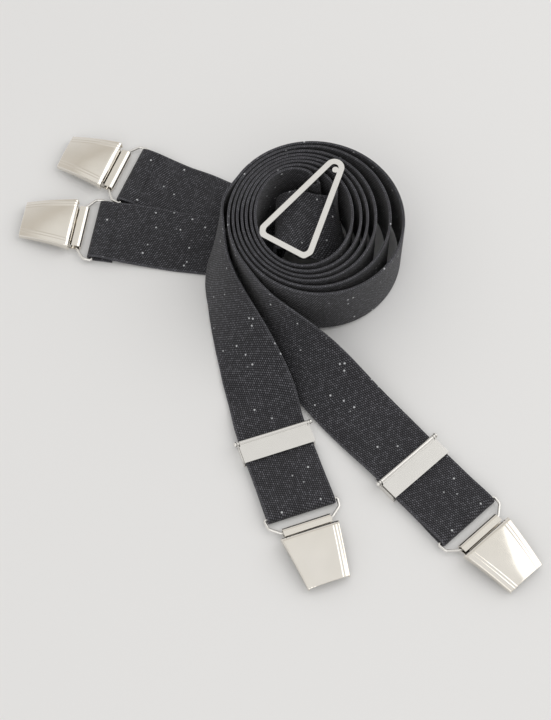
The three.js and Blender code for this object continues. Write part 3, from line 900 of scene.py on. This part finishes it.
def finished_copy(name, node, material, rounding, sharp_angle=math.radians(28)):
    """A CAD node's shape with its sheared edges rounded as tumbling rounds them."""
    shape = bmesh.new()
    shape.from_mesh(frame["nodes"][node].data)
    bmesh.ops.remove_doubles(shape, verts=shape.verts, dist=0.002 * MM)
    bmesh.ops.dissolve_limit(
        shape, angle_limit=math.radians(0.5), verts=shape.verts, edges=shape.edges
    )
    mesh = bpy.data.meshes.new(name)
    shape.to_mesh(mesh)
    shape.free()
    piece = bpy.data.objects.new(name, mesh)
    bpy.context.collection.objects.link(piece)
    mesh.materials.clear()
    mesh.materials.append(material)
    mesh.shade_smooth()
    if rounding:
        bevel = piece.modifiers.new("Rounding", "BEVEL")
        bevel.width = rounding
        bevel.segments = 3
        bevel.limit_method = "ANGLE"
        bevel.angle_limit = sharp_angle
        bevel.use_clamp_overlap = True
        bevel.harden_normals = False
    normals = piece.modifiers.new("Normals", "WEIGHTED_NORMAL")
    normals.keep_sharp = True
    normals.weight = 80
    bake_modifiers(piece)
    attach(piece, body_of_node(node))
    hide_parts(node)
    return piece


def rounded_corners(corners, cut, steps=6):
    """A closed outline whose corners are replaced by curves that start the length cut from them."""
    outline = []
    for i, corner in enumerate(corners):
        before = corners[i - 1] - corner
        after = corners[(i + 1) % len(corners)] - corner
        start = corner + before.normalized() * cut
        end = corner + after.normalized() * cut
        for k in range(steps + 1):
            t = k / steps
            outline.append(start * (1 - t) ** 2 + corner * 2 * t * (1 - t) + end * t**2)
    return outline


def closed_tube(name, path, radius, sides, material, body):
    """A round wire bent along a closed flat outline."""
    vertices, faces = [], []
    count = len(path)
    for i, point in enumerate(path):
        tangent = (path[(i + 1) % count] - path[i - 1]).normalized()
        outwards = tangent.cross(UP)
        for k in range(sides):
            angle = 2 * math.pi * k / sides
            vertices.append(point + (outwards * math.cos(angle) + UP * math.sin(angle)) * radius)
    for i in range(count):
        for k in range(sides):
            a, b = i * sides + k, i * sides + (k + 1) % sides
            c, d = (i + 1) % count * sides + (k + 1) % sides, (i + 1) % count * sides + k
            faces.append((a, b, c, d))
    piece = new_piece(name, vertices, faces, material, body)
    point_outwards(piece.data)
    return piece


class SUSPENDERS_OT_ring(bpy.types.Operator):
    """Press the crossing ring"""

    bl_idname = "suspenders.ring"
    bl_label = "Crossing ring"

    def execute(self, context):
        rounding = context.scene.suspenders_metal.burr * 1.6
        finished_copy("ring_plate", "crossing_ring", satin_nickel(), rounding)
        return {"FINISHED"}


class SUSPENDERS_OT_loops(bpy.types.Operator):
    """Bend the wire loops"""

    bl_idname = "suspenders.loops"
    bl_label = "Wire loops"

    corner_cut: bpy.props.FloatProperty(
        name="Corner", description="Length of a corner's curve", default=1.2 * MM, unit="LENGTH"
    )
    waist: bpy.props.FloatProperty(
        name="Waist", description="How far the sides lean in", default=0.4 * MM, unit="LENGTH"
    )

    def execute(self, context):
        for end in ENDS:
            node = f"{end}_wire_loop"
            place = local_frame(f"{end}_loop_swing")
            points = local_points(node, place)
            low, high = points.min(axis=0), points.max(axis=0)
            radius = float(high[2] - low[2]) / 2
            height = (high[2] + low[2]) / 2
            half_bar = high[0] - radius
            reach = high[1] - radius
            far = points[points[:, 1] > high[1] - radius * 0.6]
            half_narrow = far[:, 0].max() + self.corner_cut * 0.35
            corners = [
                Vector((-half_bar, 0, height)),
                Vector((half_bar, 0, height)),
                Vector((half_bar - self.waist, reach * 0.5, height)),
                Vector((half_narrow, reach, height)),
                Vector((-half_narrow, reach, height)),
                Vector((-half_bar + self.waist, reach * 0.5, height)),
            ]
            path = [place @ p for p in rounded_corners(corners, self.corner_cut)]
            body = body_of_node(node)
            piece = closed_tube(f"{end}_loop_wire", path, radius, 16, satin_nickel(), body)
            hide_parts(node)
        return {"FINISHED"}


def cover_surface(sizes, cover, outside):
    """The height and place of a cover's outer face.

    Returns a function of along, from 0 at the hinge to 1 at the tip, and of the distance round the
    cross-section from the middle as a share of the whole, from -1 to 1."""
    start, end = cover["start"], cover["end"]
    corner = 0.7 * MM
    flange_taper = 0.45
    bulge_start, bulge_span = 0.05, 0.9
    crown_start, crown_gain = 0.6, 0.4
    ridge_fall = 1.6

    def point(along, share):
        half = cover["half_start"] + (cover["half_end"] - cover["half_start"]) * along
        flange = cover["flange"] * (1 - flange_taper * along)
        flat = half - corner
        arc = corner * math.pi / 2
        travelled = abs(share) * (flat + arc + flange)
        side = math.copysign(1, share)
        straight = cover["height"] + (cover["tip_height"] - cover["height"]) * along
        bulge = sizes.cover_bulge * math.sin(math.pi * min(1, along * bulge_span + bulge_start))
        top = min(travelled, flat) / half
        crown = sizes.cover_crown * top**2 * (crown_start + crown_gain * along)
        from_hinge = (end - start) * along
        lip = sizes.lip_drop * max(0, 1 - from_hinge / sizes.lip_length) ** 2
        height = straight + bulge - crown - lip
        if travelled <= flat:
            x = travelled
            for number in range(2):
                middle = half - sizes.ridge_inset - number * sizes.ridge_pitch
                off = (x - middle) / (sizes.ridge_width / 2)
                height += sizes.ridge_height * math.exp(-(off**2) * ridge_fall)
        elif travelled <= flat + arc:
            turn = (travelled - flat) / corner
            x = flat + corner * math.sin(turn)
            height -= corner * (1 - math.cos(turn))
        else:
            x = half
            height -= corner + (travelled - flat - arc)
        return Vector((side * x, start + (end - start) * along, height + outside))

    return point


def make_cover(end, sizes, material):
    """One clip cover: a crowned trapezium with embossed ridges, turned-down sides and a rolled hinge."""
    node = f"{end}_clip_cover"
    place = local_frame(f"{end}_loop_swing")
    points = local_points(node, place)
    hinge = place.inverted() @ Vector(JOINTS[f"{end}_lever_lift"]["pos_m"])
    below_knuckle, tip_reach, sheet = 1.2 * MM, 1 * MM, 0.8 * MM
    shell = points[points[:, 2] < hinge.z - below_knuckle]
    tip = shell[shell[:, 1] > points[:, 1].max() - tip_reach]
    cover = {
        "start": float(shell[:, 1].min()),
        "end": float(points[:, 1].max()),
        "half_start": float(points[:, 0].max()),
        "half_end": float(tip[:, 0].max()),
        "height": 7.6 * MM,
        "tip_height": 4.9 * MM,
        "flange": 3.2 * MM,
    }
    point = cover_surface(sizes, cover, sheet / 2)
    columns, rows = 120, 44
    vertices, faces = [], []
    for r in range(rows + 1):
        for c in range(columns + 1):
            vertices.append(place @ point(r / rows, 2 * c / columns - 1))
    for r in range(rows):
        for c in range(columns):
            a = r * (columns + 1) + c
            faces.append((a, a + 1, a + columns + 2, a + columns + 1))
    body = body_of_node(node)
    piece = new_piece(f"{end}_cover_shell", vertices, faces, material, body)
    wall = piece.modifiers.new("Sheet", "SOLIDIFY")
    wall.thickness = sheet
    wall.offset = -1
    wall.use_even_offset = True
    edge = piece.modifiers.new("Rounding", "BEVEL")
    edge.width = sizes.burr
    edge.segments = 2
    edge.limit_method = "ANGLE"
    edge.angle_limit = math.radians(50)
    normals = piece.modifiers.new("Normals", "WEIGHTED_NORMAL")
    normals.keep_sharp = True
    bake_modifiers(piece)
    if signed_volume(piece.data) < 0:
        piece.data.flip_normals()
    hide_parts(node)
    make_knuckle(end, place, points, hinge, material, body)
    return piece


def make_knuckle(end, place, points, hinge, material, body):
    """The rolled edge that turns on the hinge pin, with the neck that joins it to the cover."""
    reach = 1 * MM
    neck_start, neck_end = 1.3 * MM, 2.6 * MM
    roll_start, roll_turn = 72, 350
    near = points[np.abs(points[:, 1] - hinge.y) < reach]
    half = float(near[:, 0].max())
    outer, inner = 2.05 * MM, 1.2 * MM
    sides = 28
    profile = []
    neck_top, neck_bottom = outer - 0.7 * MM, outer - 1.3 * MM
    first, last = math.radians(roll_start), math.radians(roll_start + roll_turn)
    for i in range(sides + 1):
        angle = first + (last - first) * i / sides
        profile.append((outer * math.cos(angle), outer * math.sin(angle)))
    ring_in = [(inner * math.cos(a), inner * math.sin(a)) for a in np.linspace(last, first, sides + 1)]
    ring = profile + ring_in
    vertices, faces = [], []
    for x in (-half, half):
        for y, z in ring:
            vertices.append(place @ Vector((x, hinge.y + y, hinge.z + z)))
    count = len(ring)
    for i in range(count):
        j = (i + 1) % count
        faces.append((i, j, count + j, count + i))
    for side in (0, count):
        for i in range(sides):
            a, b = side + i, side + i + 1
            c, d = side + count - 2 - i, side + count - 1 - i
            faces.append((a, b, c, d))
    piece = new_piece(f"{end}_cover_knuckle", vertices, faces, material, body)
    point_outwards(piece.data)
    edge = piece.modifiers.new("Rounding", "BEVEL")
    edge.width = 0.1 * MM
    edge.segments = 2
    edge.limit_method = "ANGLE"
    edge.angle_limit = math.radians(50)
    bake_modifiers(piece)
    neck = []
    low, high = hinge.z + neck_bottom, hinge.z + neck_top
    for x in (-half, half):
        for y, z in ((neck_start, low), (neck_end, low), (neck_end, high), (neck_start, high)):
            neck.append(place @ Vector((x, hinge.y + y, z)))
    neck_faces = [(0, 1, 2, 3), (7, 6, 5, 4), (0, 4, 5, 1), (1, 5, 6, 2), (2, 6, 7, 3), (3, 7, 4, 0)]
    strip = new_piece(f"{end}_cover_neck", neck, neck_faces, material, body)
    point_outwards(strip.data)
    soft = strip.modifiers.new("Rounding", "BEVEL")
    soft.width = 0.15 * MM
    soft.segments = 2
    bake_modifiers(strip)


class SUSPENDERS_OT_clips(bpy.types.Operator):
    """Press and assemble the lever clips"""

    bl_idname = "suspenders.clips"
    bl_label = "Lever clips"

    def execute(self, context):
        sizes = context.scene.suspenders_metal
        rubber = shared_material("moulded_rubber", rubber_material)
        for end in ENDS:
            make_cover(end, sizes, bright_nickel())
            finished_copy(
                f"{end}_base_plate", f"{end}_clip_base", bright_nickel(), sizes.burr
            )
            finished_copy(f"{end}_pin_bar", f"{end}_hinge_pin", plated_steel(), 0)
            finished_copy(
                f"{end}_jaw_plate", f"{end}_toothed_jaw", plated_steel(), sizes.burr
            )
            finished_copy(f"{end}_pad_ribbed", f"{end}_grip_pad", rubber, sizes.burr)
            finished_copy(f"{end}_spring_leaf", f"{end}_leaf_spring", plated_steel(), 0)
        return {"FINISHED"}


class SUSPENDERS_OT_slides(bpy.types.Operator):
    """Press and assemble the slide adjusters"""

    bl_idname = "suspenders.slides"
    bl_label = "Slide adjusters"

    def execute(self, context):
        rounding = context.scene.suspenders_metal.burr
        material = satin_nickel()
        for end in FRONT_ENDS:
            finished_copy(
                f"{end}_slide_channel", f"{end}_slide_frame", material, rounding
            )
            finished_copy(
                f"{end}_slide_lid", f"{end}_slide_flap", material, rounding * 1.8
            )
            finished_copy(f"{end}_slide_axle", f"{end}_slide_pin", material, 0)
        return {"FINISHED"}


# ---------- the stage ----------


def add_table(colour):
    size = 3.0
    corners = [(-size, -size, 0), (size, -size, 0), (size, size, 0), (-size, size, 0)]
    mesh = bpy.data.meshes.new("table_top")
    mesh.from_pydata([(x, y, -0.05 * MM) for x, y, _ in corners], [], [(0, 1, 2, 3)])
    mesh.materials.append(paper_material(colour))
    table = bpy.data.objects.new("table_top", mesh)
    bpy.context.collection.objects.link(table)


def add_softbox(name, place, aim, width, height, power, colour=(1, 1, 1)):
    light = bpy.data.lights.new(name, "AREA")
    light.shape = "RECTANGLE"
    light.size = width
    light.size_y = height
    light.energy = power
    light.color = colour
    lamp = bpy.data.objects.new(name, light)
    lamp.location = place
    lamp.rotation_euler = (Vector(aim) - Vector(place)).to_track_quat("-Z", "Y").to_euler()
    bpy.context.collection.objects.link(lamp)
    return lamp


def add_room_light():
    """A pale room: warm and dimmer overhead, brighter towards the horizon."""
    world = bpy.data.worlds.new("studio_room")
    bpy.context.scene.world = world
    world.use_nodes = True
    tree = world.node_tree
    tree.nodes.clear()
    way = add_node(tree, "ShaderNodeTexCoord").outputs["Generated"]
    parts = add_node(tree, "ShaderNodeSeparateXYZ", inputs={0: way})
    ramp = add_node(tree, "ShaderNodeValToRGB", inputs={0: parts.outputs["Z"]})
    stops = ramp.color_ramp.elements
    stops[0].position = 0.0
    stops[0].color = rgba(linear("#f6f6f6"))
    stops[1].position = 1.0
    stops[1].color = rgba(linear("#ffffff"))
    for height, colour in ((0.5, "#f2f1f0"), (0.76, "#dcd7d0"), (0.86, "#faf9f6")):
        stops.new(height).color = rgba(linear(colour))
    light = add_node(
        tree, "ShaderNodeBackground", inputs={"Color": ramp.outputs[0], "Strength": 0.86}
    )
    add_node(tree, "ShaderNodeOutputWorld", inputs={"Surface": light.outputs[0]})


def add_camera(settings):
    data = bpy.data.cameras.new("camera")
    data.lens = settings.lens
    data.sensor_width = 36
    data.clip_start = 0.05
    data.clip_end = 20
    camera = bpy.data.objects.new("camera", data)
    bpy.context.collection.objects.link(camera)
    back = Vector((0, -math.cos(settings.elevation), math.sin(settings.elevation)))
    camera.location = Vector(settings.target) + back * settings.distance
    camera.rotation_euler = (-back).to_track_quat("-Z", "Y").to_euler()
    bpy.context.scene.camera = camera


class SUSPENDERS_OT_stage(bpy.types.Operator):
    """Set up the table, the soft light and the camera"""

    bl_idname = "suspenders.stage"
    bl_label = "Stage"

    def execute(self, context):
        settings = context.scene.suspenders_stage
        add_camera(settings)
        add_table(tuple(settings.table))
        add_room_light()
        add_softbox("window_softbox", (1.1, 0.4, 1.1), (0, 0, 0), 1.4, 1.4, 6.0)
        add_softbox("front_softbox", (-0.4, -1.1, 1.2), (0, 0, 0), 0.9, 0.9, 2.2)
        context.scene.view_settings.view_transform = "Standard"
        return {"FINISHED"}


# ---------- the add-on ----------


class SUSPENDERS_PT_panel(bpy.types.Panel):
    """Settings and operators of the suspenders"""

    bl_idname = "SUSPENDERS_PT_panel"
    bl_label = "Suspenders"
    bl_space_type = "VIEW_3D"
    bl_region_type = "UI"
    bl_category = "Suspenders"

    def draw(self, context):
        scene = context.scene
        for title, group in (
            ("Webbing", scene.suspenders_webbing),
            ("Metal", scene.suspenders_metal),
            ("Stage", scene.suspenders_stage),
        ):
            box = self.layout.box()
            box.label(text=title)
            for name in group.__annotations__:
                box.prop(group, name)
        for operator in OPERATORS:
            self.layout.operator(operator.bl_idname)


OPERATORS = (
    SUSPENDERS_OT_stage,
    SUSPENDERS_OT_straps,
    SUSPENDERS_OT_seams,
    SUSPENDERS_OT_ring,
    SUSPENDERS_OT_loops,
    SUSPENDERS_OT_clips,
    SUSPENDERS_OT_slides,
)
CLASSES = (WebbingSettings, MetalSettings, StageSettings, *OPERATORS, SUSPENDERS_PT_panel)


def register():
    for cls in CLASSES:
        bpy.utils.register_class(cls)
    bpy.types.Scene.suspenders_webbing = bpy.props.PointerProperty(type=WebbingSettings)
    bpy.types.Scene.suspenders_metal = bpy.props.PointerProperty(type=MetalSettings)
    bpy.types.Scene.suspenders_stage = bpy.props.PointerProperty(type=StageSettings)


def unregister():
    del bpy.types.Scene.suspenders_stage
    del bpy.types.Scene.suspenders_metal
    del bpy.types.Scene.suspenders_webbing
    for cls in reversed(CLASSES):
        bpy.utils.unregister_class(cls)


def main():
    """Makes every piece in order."""
    register()
    bpy.ops.suspenders.stage()
    bpy.ops.suspenders.straps()
    bpy.ops.suspenders.seams()
    bpy.ops.suspenders.ring()
    bpy.ops.suspenders.loops()
    bpy.ops.suspenders.clips()
    bpy.ops.suspenders.slides()


if __name__ == "__main__":
    main()
